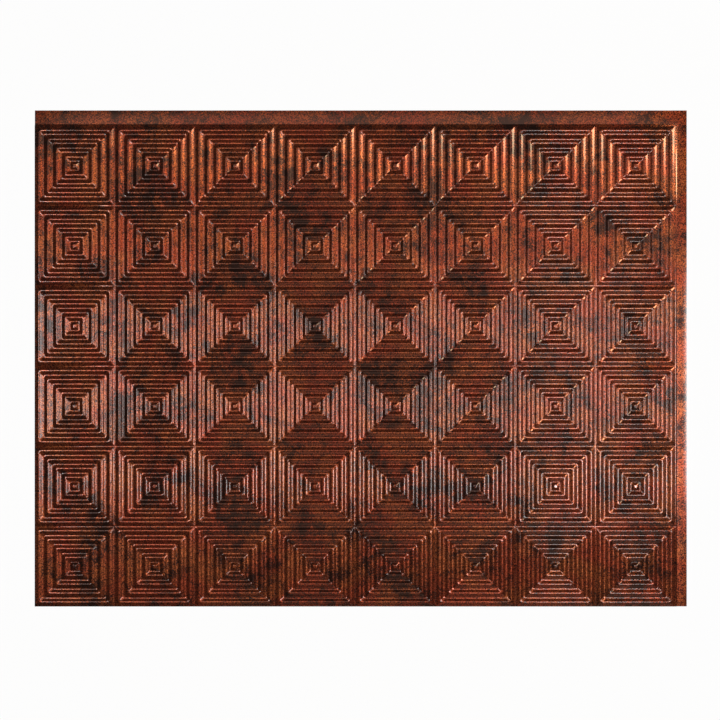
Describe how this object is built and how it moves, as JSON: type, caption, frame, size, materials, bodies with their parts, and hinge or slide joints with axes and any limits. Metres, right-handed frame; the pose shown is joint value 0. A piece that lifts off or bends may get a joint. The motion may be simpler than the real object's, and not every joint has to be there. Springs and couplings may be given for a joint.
{
  "type": "vinyl backsplash panel",
  "caption": "Thin formed vinyl wall panel with a grid of square tiles of concentric ridges, antiqued copper face and a flat lapping flange on two edges.",
  "frame": {"origin": "under the middle of the panel, on the surface that it lies on", "axes": "+X to the right of the face, along the long side; +Y to the top of the face, where the wider flange is; +Z out of the decorative face"},
  "size_m": [0.6204, 0.472, 0.0034],
  "materials": {
    "copper_vinyl": "antiqued copper film on formed vinyl, semi-gloss, mottled dark patina"
  },
  "bodies": {
    "root": {"panel": "copper_vinyl"}
  },
  "joints": []
}
